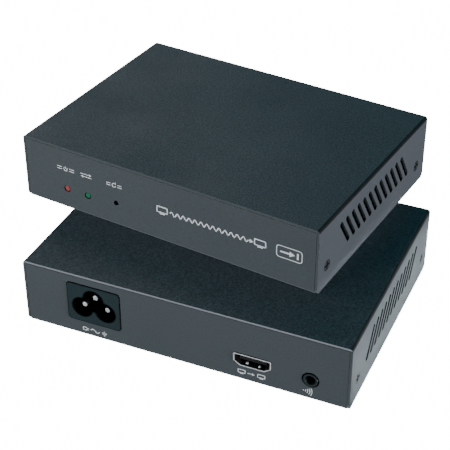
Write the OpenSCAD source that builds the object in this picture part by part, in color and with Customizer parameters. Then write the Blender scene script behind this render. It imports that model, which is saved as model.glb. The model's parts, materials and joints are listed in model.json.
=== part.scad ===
// A pair of small mains-powered video extender units in folded sheet steel: a receiving unit
// (decoder) that lies with its rear panel forward, and a sending unit (encoder) that lies on it.
// Both units are the same set of pieces. Each piece is drawn once, in the frame of its unit:
// X runs across with the middle at zero, Y runs from the front panel's face to the rear, and Z
// starts at the base. The whole set stands in the frame of the decoder, with the origin at the
// middle of its base.

/* [Case] */
// Width of a unit across the front
unit_w = 136; // [125:1:170]
// Depth of a unit from panel to panel
unit_d = 98; // [92:1:130]
// Height of a unit
unit_h = 29; // [28:0.5:40]
// Thickness of the steel sheet
sheet = 1; // [0.8:0.1:1.2]
// Outer radius of a fold in the sheet
fold_r = 1.3; // [1.2:0.1:2]
// Gap between the cover's edges and the chassis
seam = 0.2; // [0.1:0.05:0.3]
// Radius of the lower corners of the cover's sides
cover_corner_r = 2; // [1:0.1:3]
// Length of a bracket along the side, where it takes a cover screw
bracket_length = 12; // [10.5:0.5:14]
// Length of a bracket's foot behind the panel
bracket_foot = 7; // [5:0.5:8]
// Height of a bracket
bracket_height = 11; // [8:0.5:13]

/* [Vents] */
// Number of slots in each side
vent_count = 12; // [4:1:12]
// Spacing of the slots
vent_pitch = 4.95; // [4.5:0.05:5.5]
// Length of a slot from end to end
vent_length = 14.7; // [10:0.1:16]
// Width of a slot
vent_width = 2.3; // [1.5:0.1:3]
// Lean of a slot, with its top towards the front
vent_slant = 33; // [0:1:40]
// Height of the middle of the slots
vent_z = 16.2; // [14:0.1:18]

/* [Cover screws] */
// Radius of a screw's head
screw_head_r = 2.3; // [2:0.05:2.5]
// Radius of a screw's thread
screw_r = 1.25; // [1:0.05:1.5]
// Length of a screw
screw_length = 4.5; // [3:0.1:6]
// Depth of the cross in a screw's head
screw_cross_depth = 0.7; // [0.4:0.05:0.9]
// Width of a groove of the cross
screw_cross_width = 0.55; // [0.4:0.05:0.7]
// Distance of the front screws from the front panel
screw_from_front = 7.6; // [5.5:0.1:8.5]
// Distance of the rear screws from the rear panel
screw_from_rear = 8.2; // [5.5:0.1:8.5]
// Height of the cover screws
screw_z = 9.3; // [8:0.1:11]
// Gap round a thread in its tapped hole
thread_gap = 0.05; // [0.02:0.01:0.1]

/* [Mains inlet] */
// Distance of the inlet's middle from the side of the unit
inlet_from_side = 30.7; // [26:0.1:36]
// Width of the inlet's face
inlet_w = 23; // [21:0.1:25]
// Height of the inlet's face
inlet_h = 17.8; // [16.5:0.1:18.5]
// Height of the middle of the inlet's face
inlet_z = 15.95; // [15.6:0.05:17]
// Corner radius of the inlet's face
inlet_corner_r = 1.6; // [1:0.1:2.5]
// How far the inlet's body reaches into the unit
inlet_depth = 21; // [18:0.5:24]
// Height of the two lower pins
pin_z = 14.2; // [13.8:0.1:14.8]
// Spacing of the two lower pins
pin_spacing = 10; // [9:0.1:11]
// Height of the earth pin over the other two
earth_rise = 4.5; // [4:0.1:4.7]
// Radius of a pin
pin_r = 1.2; // [1:0.05:1.3]
// Radius of a lobe of the recess
lobe_r = 4.5; // [4:0.1:4.6]
// Depth of the recess
recess_depth = 13; // [11:0.5:14]
// How far the lower pins end behind the face
pin_tip_depth = 1.9; // [1:0.1:3]
// How far the earth pin ends behind the face
earth_tip_depth = 1.7; // [0.5:0.1:2.5]

/* [HDMI socket] */
// Distance of the socket's middle from the side of the unit that is away from the inlet
hdmi_from_side = 38.7; // [32:0.1:44]
// Width of the shell
hdmi_w = 15.2; // [14.8:0.1:15.6]
// Height of the shell
hdmi_h = 5.5; // [5.3:0.1:5.9]
// Width of the flat bottom of the shell
hdmi_floor_w = 9.9; // [9:0.1:11]
// Height of the slanted part of the shell
hdmi_slant_h = 1.9; // [1.4:0.1:2.2]
// Height of the shell's underside
hdmi_z = 7.4; // [7.2:0.1:8]
// Depth of the shell
hdmi_depth = 11.5; // [10:0.1:13]
// Thickness of the shell
hdmi_wall = 0.4; // [0.3:0.05:0.5]
// Thickness of the contact tongue
tongue_t = 1.2; // [1:0.1:1.4]
// Width of the contact tongue
tongue_w = 11; // [10.6:0.1:12]
// Number of contacts on the upper side of the tongue
contact_count = 10; // [5:1:10]
// Spacing of the contacts
contact_pitch = 1; // [0.9:0.05:1.05]

/* [Infrared jack] */
// Distance of the jack's middle from the side of the unit that is away from the inlet
jack_from_side = 15.5; // [14:0.1:18]
// Height of the jack's axis
jack_z = 9.6; // [9.4:0.1:10]
// Radius of the jack's collar
jack_collar_r = 2.85; // [2.7:0.05:3]
// Radius of the jack's bore
jack_bore_r = 1.8; // [1.76:0.01:1.85]
// Depth of the jack's bore
jack_bore_depth = 12; // [10:0.5:14]
// Width of the jack's body
jack_w = 7.4; // [7.2:0.1:9]
// Depth of the jack's body behind the panel
jack_body_depth = 12.5; // [11:0.5:15]

/* [Lights and reset] */
// Distance of the power light from the side of the unit
power_led_from_side = 20.9; // [15:0.1:23]
// Distance of the link light from the side of the unit
link_led_from_side = 31.2; // [29:0.1:36]
// Height of the lights
led_z = 9.7; // [9.2:0.1:11]
// Radius of a light
led_r = 1.5; // [1.3:0.05:1.6]
// Length of a light's round body behind its dome
led_length = 4; // [3.5:0.1:5]
// How far a light's dome stands out of the panel
led_proud = 0.4; // [0.1:0.05:0.6]
// Distance of the reset hole from the side of the unit
reset_from_side = 45.1; // [42:0.1:50]
// Height of the reset hole
reset_z = 10.8; // [10.4:0.1:11.2]
// Radius of the reset hole
reset_hole_r = 1.15; // [1:0.05:1.3]
// Radius of the reset plunger
button_r = 0.9; // [0.7:0.05:1]
// Travel of the reset plunger
button_travel = 0.25; // [0.2:0.05:0.5]
// Running gap round the reset plunger
button_gap = 0.08; // [0.05:0.01:0.1]

/* [Circuit board] */
// Thickness of the board
board_t = 1.6; // [1.2:0.1:2]
// Height of the standoffs under the board
standoff_h = 4; // [3.9:0.1:4.2]
// Distance of the board from the cover's sides
board_side_gap = 5; // [3:0.5:6]
// Distance of the board from the front and rear panels
board_end_gap = 4; // [3:0.5:5]
// Distance of the standoffs from the board's sides
standoff_in = 5; // [4.5:0.5:6]
// Distance of the front standoffs from the board's front edge
standoff_front = 7; // [5:0.5:9]
// Distance of the rear standoffs from the board's rear edge
standoff_rear = 15; // [14:0.5:18]
// Width of a standoff across its flats
standoff_flats = 5; // [4.5:0.1:5.5]
// Radius of the board screws' thread
board_screw_r = 1.4; // [1.2:0.05:1.5]
// Least gap between parts on the board
part_gap = 2; // [1:0.5:2.5]

/* [Power supply] */
// Distance of the transformer's middle from the board's side
transformer_in = 24; // [22:0.5:30]
// Distance of the transformer's middle from the board's front edge
transformer_back = 14; // [13:0.5:24]
// Length and width of the transformer's core
core_size = 20; // [16:0.5:22]
// Height of the core's ring
core_h = 5; // [4:0.5:6]
// Radius of the transformer's winding
winding_r = 6.4; // [5.5:0.1:6.5]
// Radius of the mains smoothing capacitor
bulk_cap_r = 5; // [4:0.5:6]
// Height of the mains smoothing capacitor
bulk_cap_h = 16; // [10:0.5:17]
// Radius of an output capacitor
output_cap_r = 4; // [3:0.5:4.5]
// Height of an output capacitor
output_cap_h = 11.5; // [8:0.5:14]
// Outer radius of the line choke
choke_r = 7.5; // [6:0.5:8]
// Height of the line choke
choke_h = 9; // [6:0.5:12]
// Radius of the fuse
fuse_r = 4.2; // [3.5:0.1:4.5]
// Height of the fuse
fuse_h = 7.7; // [6:0.1:9]
// Width of the film capacitor
film_w = 6; // [4:0.5:7]
// Length of the film capacitor
film_l = 13; // [10:0.5:15]
// Height of the film capacitor
film_h = 12; // [8:0.5:14]
// Width of the coupling transformer
coupler_w = 9; // [7:0.5:11]
// Length of the coupling transformer
coupler_l = 12; // [9:0.5:14]
// Height of the coupling transformer
coupler_h = 8; // [6:0.5:11]

/* [Signal chips] */
// Distance of the processor's middle from the board's side
processor_in = 34; // [32:0.5:40]
// Side of the processor
processor_side = 15; // [12:0.5:17]
// Thickness of the chips
chip_t = 1.4; // [1:0.1:2]
// Side of the heat sink
sink_side = 22; // [18:0.5:25]
// Height of the heat sink with its fins
sink_h = 10; // [6:0.5:14]
// Number of fins on the heat sink
fin_count = 7; // [4:1:8]
// Thickness of a fin
fin_t = 1; // [0.8:0.1:1.3]

/* [Stack] */
// Turn of the upper unit, clockwise from above
stack_turn = 7.2; // [0:0.2:10]
// Sideways place of the upper unit's front on the lower unit
stack_x = -22.5; // [-30:0.5:0]
// How far the upper unit's front lies from the lower unit's middle
stack_y = -15.6; // [-25:0.5:0]

/* [Hidden] */
PIECES = ["chassis", "cover", "side_brackets", "cover_screws", "main_board", "standoffs",
    "board_screws", "power_inlet", "inlet_pins", "hdmi_shell", "hdmi_tongue", "hdmi_contacts", "ir_jack",
    "jack_contacts", "power_led", "link_led", "led_holders", "led_leads", "reset_switch",
    "reset_button", "transformer_core", "transformer_bobbin", "transformer_winding",
    "bulk_capacitors", "film_capacitor", "line_choke", "fuse", "coupling_transformer",
    "chips", "heat_sink"];
$fn = 48;

// One overrun serves every cut, and one fit gap serves pieces that are pressed or glued in.
over = 0.5;
fit_gap = 0.02;
coat = [0.27, 0.3, 0.33];
dark_steel = [0.12, 0.12, 0.13];
black_plastic = [0.08, 0.09, 0.09];
bright_metal = [0.8, 0.8, 0.78];
gold = [0.85, 0.68, 0.3];

// Chassis: the sheet between the cover's sides, with the tops of its panels under the cover's top.
fold_inner_r = fold_r - sheet;
chassis_w = unit_w - 2 * (sheet + seam);
panel_h = unit_h - sheet - seam;

// Board: its top carries every part inside.
board_w = unit_w - 2 * (sheet + board_side_gap);
board_d = unit_d - 2 * (sheet + board_end_gap);
board_front = sheet + board_end_gap;
board_rear = unit_d - board_front;
board_z = sheet + standoff_h;
board_top = board_z + board_t;
board_side_x = board_w / 2;
standoff_x = board_side_x - standoff_in;
standoff_front_y = board_front + standoff_front;
standoff_rear_y = board_rear - standoff_rear;
standoff_places = [for (x = [-standoff_x, standoff_x]) for (y = [standoff_front_y, standoff_rear_y]) [x, y]];
clinch_r = 2.1;
screw_pan_r = 2.7;
screw_pan_h = 1.8;
board_hole_gap = 0.2;
board_hole_r = board_screw_r + board_hole_gap;

// Legs: square wires that end under the board in round holes.
leg_t = 0.6;
leg_below = 1.2;
leg_hole_r = 0.55;
leg_z = board_z - leg_below;

// Mains inlet: its nose fills the panel's cut-out, and its wider body bears on the panel's back.
inlet_x = unit_w / 2 - inlet_from_side;
inlet_gap = 0.25;
inlet_proud = 0.3;
inlet_shoulder = 1.2;
inlet_face_y = unit_d + inlet_proud;
inlet_body_front = unit_d - sheet - seam;
inlet_body_rear = inlet_body_front - inlet_depth;
inlet_top = inlet_z + inlet_h / 2;
waist_drop = 1;
recess_floor = inlet_face_y - recess_depth;
pin_places = [[-pin_spacing / 2, 0, pin_tip_depth], [pin_spacing / 2, 0, pin_tip_depth],
    [0, earth_rise, earth_tip_depth]];
pin_tail = 1.5;
pin_leg_y = inlet_body_rear - pin_tail;
pin_leg_t = 1.1;
pin_leg_hole_r = 0.9;
pin_round_r = 0.5;

// HDMI socket.
hdmi_x = hdmi_from_side - unit_w / 2;
hdmi_gap = 0.2;
hdmi_proud = 0.4;
hdmi_face_y = unit_d + hdmi_proud;
hdmi_back_y = hdmi_face_y - hdmi_depth;
hdmi_mid_z = hdmi_z + hdmi_h / 2;
hdmi_corner_r = 0.7;
hdmi_root = 3;
tongue_up = 0.3;
tongue_z = hdmi_mid_z + tongue_up;
tongue_recess = 1.2;
contact_w = 0.4;
contact_t = 0.12;
contact_length = 5.5;
hdmi_foot_w = 1.2;
hdmi_foot_hole_r = 0.85;
hdmi_foot_in = 2.5;
hdmi_foot_y = hdmi_back_y + hdmi_foot_in;
spring_r = 0.55;
spring_spacing = 5.1;
spring_in = 1.8;

// Infrared jack.
jack_x = jack_from_side - unit_w / 2;
jack_gap = 0.65;
jack_proud = 0.3;
jack_face_y = unit_d + jack_proud;
jack_body_y = unit_d - sheet - seam - jack_body_depth;
jack_lead_r = 2.15;
jack_lead = 1.4;
jack_leaf_t = 0.3;
jack_leaf_w = 2.5;
jack_body_h = 2 * (jack_z - board_top);
jack_leg_places = [for (side = [-1, 1]) [jack_x + side * (jack_w + jack_leaf_t) / 2,
    jack_body_y + jack_leaf_w]];

// Lights and reset, measured from the left side as seen from the front.
power_led_x = power_led_from_side - unit_w / 2;
link_led_x = link_led_from_side - unit_w / 2;
led_places = [power_led_x, link_led_x];
led_hole_gap = 0.08;
led_rim_out = 0.4;
led_rim_r = led_r + led_rim_out;
led_rim_t = 1;
led_dome_y = led_r - led_proud;
led_back_y = led_dome_y + led_length;
holder_gap = 0.05;
holder_wall = 0.8;
holder_front = sheet + seam;
holder_back = led_back_y + led_rim_t;
lead_spacing = 2.54;
lead_leg_y = holder_back + 2 * leg_t;
reset_x = reset_from_side - unit_w / 2;
reset_recess = 0.8;
switch_w = 6.2;
switch_wall = 0.8;
switch_front = 4;
switch_d = 4;
switch_h = 2 * (reset_z - board_top);
button_tip_y = sheet + reset_recess;
button_rim_out = 0.5;
button_rim_r = button_r + button_rim_out;
button_rim_y = switch_front + switch_wall + holder_gap;
button_rim_t = 0.7;
button_room = button_rim_t + button_travel + switch_wall;

// Power supply, placed from the board's right side: the transformer in front, the rest behind it.
transformer_x = board_side_x - transformer_in;
transformer_y = board_front + transformer_back;
core_leg = 4;
centre_leg = 4.6;
coil_foot = 1.2;
core_mid_z = board_top + coil_foot + winding_r;
window_l = core_size - 2 * core_leg;
wire_gap = 0.3;
bobbin_wall = 0.8;
bobbin_h = 2 * winding_r + coil_foot;
bulk_cap_x = transformer_x + core_size / 2 + bulk_cap_r;
bulk_cap_y = transformer_y + core_size / 2 + bulk_cap_r + part_gap / 2;
output_cap_x = transformer_x - core_size / 2 - output_cap_r - part_gap;
output_cap_pitch = 2 * output_cap_r + part_gap;
choke_shift = 3;
choke_x = inlet_x - choke_shift;
choke_y = pin_leg_y - choke_r - part_gap;
choke_bore_share = 0.5;
choke_base_t = 1;
film_x = choke_x - choke_r - part_gap - film_w / 2;
box_corner_r = 0.8;
fuse_x = board_side_x - fuse_r - 2 * part_gap;
fuse_y = pin_leg_y - fuse_r - part_gap;
cap_groove_r = 0.35;
cap_groove_up = 2;
cap_sleeve_r = 0.6;

// Signal part, placed from the board's left side.
processor_x = processor_in - board_side_x;
processor_y = unit_d / 2;
memory_w = 11;
memory_l = 8;
memory_x = processor_x - sink_side / 2 - memory_w / 2 - part_gap;
memory_pitch = memory_l + part_gap;
port_chip_side = 7;
sink_base_t = 2.2;
coupler_x = processor_x + sink_side / 2 + part_gap + coupler_w / 2;
coupler_y = inlet_body_rear - coupler_l / 2 - part_gap;

// A flat shape drawn in X and Z is carried through a wall that faces along Y.
module along_y(y_low, y_high) {
    translate([0, y_high, 0])
        rotate([90, 0, 0])
            linear_extrude(y_high - y_low)
                children();
}

// A flat shape drawn in Y and Z is carried along X.
module along_x(x_low, x_high) {
    translate([x_low, 0, 0])
        rotate([90, 0, 90])
            linear_extrude(x_high - x_low)
                children();
}

// The same piece on the left and on the right.
module both_sides() {
    children();
    mirror([1, 0, 0])
        children();
}

// A rectangle with round corners, centred.
module round_rect(w, h, r) {
    square([w - 2 * r, h], center = true);
    square([w, h - 2 * r], center = true);
    for (x = [-1, 1], y = [-1, 1])
        translate([x * (w / 2 - r), y * (h / 2 - r)])
            circle(r);
}

// A trough outline with its two lower corners round, from the corner at zero.
module trough(w, h, r) {
    translate([r, 0])
        square([w - 2 * r, h]);
    translate([0, r])
        square([w, h - r]);
    for (x = [r, w - r])
        translate([x, r])
            circle(r);
}

// A sheet folded to a U: the trough less its inside.
module folded_u(w, h) {
    difference() {
        trough(w, h, fold_r);
        translate([sheet, sheet])
            trough(w - 2 * sheet, h, fold_inner_r);
    }
}

// One vent slot with round ends, centred, leaning with its top towards the front.
module vent() {
    half_run = (vent_length - vent_width) / 2;
    rotate(vent_slant) {
        square([vent_width, 2 * half_run], center = true);
        for (end = [-half_run, half_run])
            translate([0, end])
                circle(vent_width / 2);
    }
}

// The cover screws' axes, each with its head towards the right.
module at_cover_screws() {
    for (y = [screw_from_front, unit_d - screw_from_rear])
        translate([unit_w / 2, y, screw_z])
            rotate([0, -90, 0])
                children();
}

// A cone that fits a countersunk head, from the sheet's face inward.
module screw_cone(r_add) {
    cylinder(h = screw_head_r - screw_r, r1 = screw_head_r + r_add, r2 = screw_r + r_add);
}

// The bracket welded behind the front panel on the right: a foot, a fold and a side.
module side_bracket() {
    translate([chassis_w / 2 - bracket_foot, sheet + fit_gap, screw_z - bracket_height / 2])
        linear_extrude(bracket_height)
            difference() {
                union() {
                    square([bracket_foot - fold_r, bracket_length]);
                    translate([0, fold_r])
                        square([bracket_foot, bracket_length - fold_r]);
                    translate([bracket_foot - fold_r, fold_r])
                        circle(fold_r);
                }
                translate([-over, sheet]) {
                    square([bracket_foot + over - fold_r, bracket_length]);
                    translate([0, fold_inner_r])
                        square([bracket_foot + over - sheet, bracket_length]);
                    translate([bracket_foot + over - fold_r, fold_inner_r])
                        circle(fold_inner_r);
                }
            }
}

// The outline of the inlet's cloverleaf recess round the middle of its lower pins.
module clover() {
    for (p = pin_places)
        translate([p[0], p[1]])
            circle(lobe_r);
    polygon([[-pin_spacing / 2, -waist_drop], [pin_spacing / 2, -waist_drop],
        [pin_spacing / 2, earth_rise / 2], [0, earth_rise + lobe_r / 2], [-pin_spacing / 2, earth_rise / 2]]);
}

// The HDMI shell's outline round its middle, grown or shrunk by a gap on every side.
module hdmi_outline(grow) {
    top = hdmi_h / 2 + grow;
    side = hdmi_w / 2 + grow;
    floor_half = hdmi_floor_w / 2 + grow / 2;
    knee = hdmi_slant_h - hdmi_h / 2;
    r = hdmi_corner_r + grow;
    polygon([[-floor_half, -top], [floor_half, -top], [side, knee], [side, top - r],
        [side - r, top - r], [side - r, top], [r - side, top], [r - side, top - r],
        [-side, top - r], [-side, knee]]);
    for (x = [-1, 1])
        translate([x * (side - r), top - r])
            circle(r);
}

module chassis() {
    color(coat)
        difference() {
            along_x(-chassis_w / 2, chassis_w / 2)
                folded_u(unit_d, panel_h);
            along_y(-over, 2 * sheet)
                union() {
                    for (x = led_places)
                        translate([x, led_z])
                            circle(led_r + led_hole_gap);
                    translate([reset_x, reset_z])
                        circle(reset_hole_r);
                }
            along_y(unit_d - sheet - over, unit_d + over)
                union() {
                    translate([inlet_x, inlet_z])
                        round_rect(inlet_w + 2 * inlet_gap, inlet_h + 2 * inlet_gap,
                            inlet_corner_r + inlet_gap);
                    translate([hdmi_x, hdmi_mid_z])
                        hdmi_outline(hdmi_gap);
                    translate([jack_x, jack_z])
                        circle(jack_collar_r + jack_gap);
                }
            for (p = standoff_places)
                translate([p[0], p[1], -over])
                    cylinder(h = sheet + 2 * over, r = clinch_r + fit_gap);
        }
}

module cover() {
    color(coat)
        difference() {
            intersection() {
                along_y(0, unit_d)
                    translate([-unit_w / 2, unit_h])
                        mirror([0, 1])
                            folded_u(unit_w, unit_h);
                along_x(-unit_w / 2 - over, unit_w / 2 + over)
                    trough(unit_d, unit_h + over, cover_corner_r);
            }
            along_x(-unit_w / 2 - over, unit_w / 2 + over)
                for (i = [0 : vent_count - 1])
                    translate([unit_d / 2 + (i - (vent_count - 1) / 2) * vent_pitch, vent_z])
                        vent();
            both_sides()
                at_cover_screws() {
                    translate([0, 0, -over])
                        cylinder(h = over + fit_gap, r = screw_head_r + thread_gap);
                    screw_cone(thread_gap);
                    cylinder(h = sheet + over, r = screw_r + thread_gap);
                }
        }
}

module side_brackets() {
    color(coat)
        difference() {
            both_sides() {
                side_bracket();
                translate([0, unit_d, 0])
                    mirror([0, 1, 0])
                        side_bracket();
            }
            both_sides()
                at_cover_screws()
                    cylinder(h = 2 * sheet + seam + over, r = screw_r + thread_gap);
        }
}

module cover_screws() {
    color(dark_steel)
        both_sides()
            at_cover_screws()
                difference() {
                    union() {
                        screw_cone(0);
                        cylinder(h = screw_length, r = screw_r);
                    }
                    for (turn = [0, 90])
                        rotate(turn)
                            translate([-screw_head_r + screw_cross_width, -screw_cross_width / 2, -over])
                                cube([2 * (screw_head_r - screw_cross_width), screw_cross_width,
                                    over + screw_cross_depth]);
                }
}

// Holes in the board for every leg that is soldered into it.
module leg_holes() {
    for (x = led_places, side = [-1, 1])
        translate([x + side * lead_spacing / 2, lead_leg_y, 0])
            cylinder(h = unit_h, r = leg_hole_r);
    for (p = pin_places)
        translate([inlet_x + p[0], pin_leg_y, 0])
            cylinder(h = unit_h, r = pin_leg_hole_r);
    for (side = [-1, 1])
        translate([hdmi_x + side * (hdmi_w - hdmi_wall) / 2, hdmi_foot_y, 0])
            cylinder(h = unit_h, r = hdmi_foot_hole_r);
    for (place = jack_leg_places)
        translate([place[0], place[1], 0])
            cylinder(h = unit_h, r = leg_hole_r);
}

module main_board() {
    color([0.05, 0.3, 0.16])
        difference() {
            translate([-board_side_x, board_front, board_z])
                cube([board_w, board_d, board_t]);
            for (p = standoff_places)
                translate([p[0], p[1], 0])
                    cylinder(h = unit_h, r = board_hole_r);
            leg_holes();
        }
}

module standoffs() {
    color(bright_metal)
        for (p = standoff_places)
            translate([p[0], p[1], 0])
                difference() {
                    union() {
                        cylinder(h = sheet + over, r = clinch_r);
                        translate([0, 0, sheet])
                            cylinder(h = standoff_h, r = standoff_flats / sqrt(3), $fn = 6);
                    }
                    translate([0, 0, sheet])
                        cylinder(h = standoff_h + over, r = board_screw_r + thread_gap);
                }
}

module board_screws() {
    color(bright_metal)
        for (p = standoff_places)
            translate([p[0], p[1], 0])
                difference() {
                    union() {
                        translate([0, 0, board_top])
                            cylinder(h = screw_pan_h, r = screw_pan_r);
                        translate([0, 0, sheet + over])
                            cylinder(h = board_top - sheet, r = board_screw_r);
                    }
                    for (turn = [0, 90])
                        translate([0, 0, board_top + screw_pan_h])
                            rotate(turn)
                                cube([screw_pan_r, screw_cross_width, 2 * screw_cross_depth], center = true);
                }
}

module power_inlet() {
    color(black_plastic)
        difference() {
            union() {
                along_y(inlet_body_front - over, inlet_face_y)
                    translate([inlet_x, inlet_z])
                        round_rect(inlet_w, inlet_h, inlet_corner_r);
                along_y(inlet_body_rear, inlet_body_front)
                    translate([inlet_x - inlet_w / 2 - inlet_shoulder, board_top])
                        square([inlet_w + 2 * inlet_shoulder, inlet_top - board_top]);
            }
            along_y(recess_floor, inlet_face_y + over)
                translate([inlet_x, pin_z])
                    clover();
            along_y(inlet_body_rear - over, inlet_face_y)
                translate([inlet_x, pin_z])
                    for (p = pin_places)
                        translate([p[0], p[1]])
                            circle(pin_r + fit_gap);
        }
}

// One round pin with a rounded tip, and its flat leg down through the board.
module inlet_pin(x, rise, tip_depth) {
    tip_y = inlet_face_y - tip_depth;
    translate([inlet_x + x, tip_y, pin_z + rise])
        rotate([90, 0, 0])
            rotate_extrude()
                union() {
                    square([pin_r - pin_round_r, tip_y - pin_leg_y]);
                    translate([0, pin_round_r])
                        square([pin_r, tip_y - pin_leg_y - pin_round_r]);
                    translate([pin_r - pin_round_r, pin_round_r])
                        circle(pin_round_r);
                }
    translate([inlet_x + x - pin_leg_t / 2, pin_leg_y - pin_leg_t / 2, leg_z])
        cube([pin_leg_t, pin_leg_t, pin_z + rise - leg_z]);
}

module inlet_pins() {
    color(bright_metal)
        for (p = pin_places)
            inlet_pin(p[0], p[1], p[2]);
}

module hdmi_shell() {
    color(bright_metal) {
        difference() {
            along_y(hdmi_back_y, hdmi_face_y)
                translate([hdmi_x, hdmi_mid_z])
                    hdmi_outline(0);
            along_y(hdmi_back_y + hdmi_wall, hdmi_face_y + over)
                translate([hdmi_x, hdmi_mid_z])
                    hdmi_outline(-hdmi_wall);
        }
        for (side = [-1, 1]) {
            translate([hdmi_x + (side * (hdmi_w - hdmi_wall) - hdmi_wall) / 2, hdmi_foot_y - hdmi_foot_w / 2,
                leg_z])
                cube([hdmi_wall, hdmi_foot_w, hdmi_mid_z - leg_z]);
            translate([hdmi_x + side * spring_spacing / 2, hdmi_face_y - spring_in, hdmi_z + hdmi_wall])
                sphere(spring_r);
        }
    }
}

module hdmi_tongue() {
    color(black_plastic) {
        along_y(hdmi_back_y + hdmi_wall + fit_gap, hdmi_back_y + hdmi_root)
            translate([hdmi_x, hdmi_mid_z])
                hdmi_outline(-hdmi_wall - fit_gap);
        along_y(hdmi_back_y + hdmi_root - over, hdmi_face_y - tongue_recess)
            translate([hdmi_x - tongue_w / 2, tongue_z - tongue_t / 2])
                square([tongue_w, tongue_t]);
    }
}

module hdmi_contacts() {
    color(gold)
        for (row = [0, 1]) {
            count = contact_count - row;
            z = row == 0 ? tongue_z + tongue_t / 2 : tongue_z - tongue_t / 2 - contact_t;
            for (i = [0 : count - 1])
                translate([hdmi_x + (i - (count - 1) / 2) * contact_pitch - contact_w / 2,
                    hdmi_back_y + hdmi_root, z])
                    cube([contact_w, contact_length, contact_t]);
        }
}

module ir_jack() {
    color(black_plastic)
        difference() {
            union() {
                translate([jack_x - jack_w / 2, jack_body_y, board_top])
                    cube([jack_w, jack_body_depth, jack_body_h]);
                along_y(jack_body_y + jack_body_depth - over, jack_face_y)
                    translate([jack_x, jack_z])
                        circle(jack_collar_r);
            }
            along_y(jack_face_y - jack_bore_depth, jack_face_y + over)
                translate([jack_x, jack_z])
                    circle(jack_bore_r);
            translate([jack_x, jack_face_y, jack_z])
                rotate([90, 0, 0])
                    translate([0, 0, -fit_gap])
                        cylinder(h = jack_lead + fit_gap, r1 = jack_lead_r, r2 = jack_bore_r);
        }
}

module jack_contacts() {
    color(bright_metal)
        for (place = jack_leg_places)
            translate([place[0] - jack_leaf_t / 2, place[1], 0]) {
                translate([0, -jack_leaf_w / 2, board_top])
                    cube([jack_leaf_t, jack_leaf_w, jack_body_h]);
                translate([0, -leg_t / 2, leg_z])
                    cube([jack_leaf_t, leg_t, board_top + over - leg_z]);
            }
}

// A 3 mm light on its side: a dome, a round body and a rim at its foot.
module light(x) {
    translate([x, led_dome_y, led_z]) {
        sphere(led_r);
        rotate([-90, 0, 0]) {
            cylinder(h = led_length, r = led_r);
            translate([0, 0, led_length])
                cylinder(h = led_rim_t, r = led_rim_r);
        }
    }
}

module power_led() {
    color([0.75, 0.2, 0.2])
        light(power_led_x);
}

module link_led() {
    color([0.05, 0.55, 0.3])
        light(link_led_x);
}

module led_holders() {
    half = led_rim_r + holder_gap + holder_wall;
    color(black_plastic)
        for (x = led_places)
            difference() {
                translate([x - half, holder_front, board_top])
                    cube([2 * half, holder_back - holder_front, led_z + half - board_top]);
                along_y(0, holder_back + over)
                    translate([x, led_z])
                        circle(led_r + holder_gap);
                along_y(led_back_y - holder_gap, holder_back + over)
                    translate([x, led_z])
                        circle(led_rim_r + holder_gap);
            }
}

module led_leads() {
    color(bright_metal)
        for (x = led_places, side = [-1, 1])
            translate([x + side * lead_spacing / 2 - leg_t / 2, 0, 0]) {
                translate([0, holder_back, led_z - leg_t / 2])
                    cube([leg_t, lead_leg_y - holder_back + leg_t / 2, leg_t]);
                translate([0, lead_leg_y - leg_t / 2, leg_z])
                    cube([leg_t, leg_t, led_z + leg_t / 2 - leg_z]);
            }
}

module reset_switch() {
    color(black_plastic)
        difference() {
            translate([reset_x - switch_w / 2, switch_front, board_top])
                cube([switch_w, switch_d, switch_h]);
            along_y(switch_front - over, switch_front + switch_wall + over)
                translate([reset_x, reset_z])
                    circle(button_r + button_gap);
            along_y(switch_front + switch_wall, switch_front + switch_wall + button_room)
                translate([reset_x, reset_z])
                    circle(button_rim_r + button_gap);
        }
}

module reset_button() {
    color([0.2, 0.2, 0.2])
        translate([reset_x, 0, reset_z])
            rotate([-90, 0, 0]) {
                translate([0, 0, button_tip_y])
                    cylinder(h = button_rim_y - button_tip_y, r = button_r);
                translate([0, 0, button_rim_y])
                    cylinder(h = button_rim_t, r = button_rim_r);
            }
}

// A ferrite core of two E halves: a ring with a centre leg, lying flat over the board.
module transformer_core() {
    window_low = centre_leg / 2;
    window_high = (core_size - core_leg) / 2;
    color([0.2, 0.2, 0.22])
        translate([transformer_x, transformer_y, core_mid_z])
            difference() {
                cube([core_size, core_size, core_h], center = true);
                for (side = [-1, 1])
                    translate([0, side * (window_low + window_high) / 2, 0])
                        cube([window_l, window_high - window_low, core_h + over], center = true);
            }
}

// The coil former: two cheeks that stand on the board and a sleeve round the centre leg.
module transformer_bobbin() {
    cheek_x = window_l / 2 - bobbin_wall - fit_gap;
    cheek_w = core_size - core_leg - 2 * wire_gap;
    color([0.15, 0.15, 0.16])
        translate([transformer_x, transformer_y, 0])
            difference() {
                union() {
                    for (x = [-cheek_x - bobbin_wall, cheek_x])
                        translate([x, -cheek_w / 2, board_top])
                            cube([bobbin_wall, cheek_w, bobbin_h]);
                    translate([0, 0, core_mid_z])
                        cube([2 * cheek_x + bobbin_wall, centre_leg + 2 * bobbin_wall,
                            core_h + 2 * bobbin_wall], center = true);
                }
                translate([0, 0, core_mid_z])
                    cube([core_size, centre_leg + 2 * fit_gap, core_h + 2 * fit_gap], center = true);
            }
}

// The wire wound on the coil former: one thick round layer with flat ends.
module transformer_winding() {
    length = window_l - 2 * (bobbin_wall + 2 * fit_gap);
    sleeve_w = centre_leg + 2 * (bobbin_wall + fit_gap);
    sleeve_h = core_h + 2 * (bobbin_wall + fit_gap);
    color([0.8, 0.65, 0.1])
        translate([transformer_x, transformer_y, core_mid_z])
            difference() {
                rotate([0, 90, 0])
                    cylinder(h = length, r = winding_r, center = true);
                cube([length + over, sleeve_w, sleeve_h], center = true);
            }
}

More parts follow.
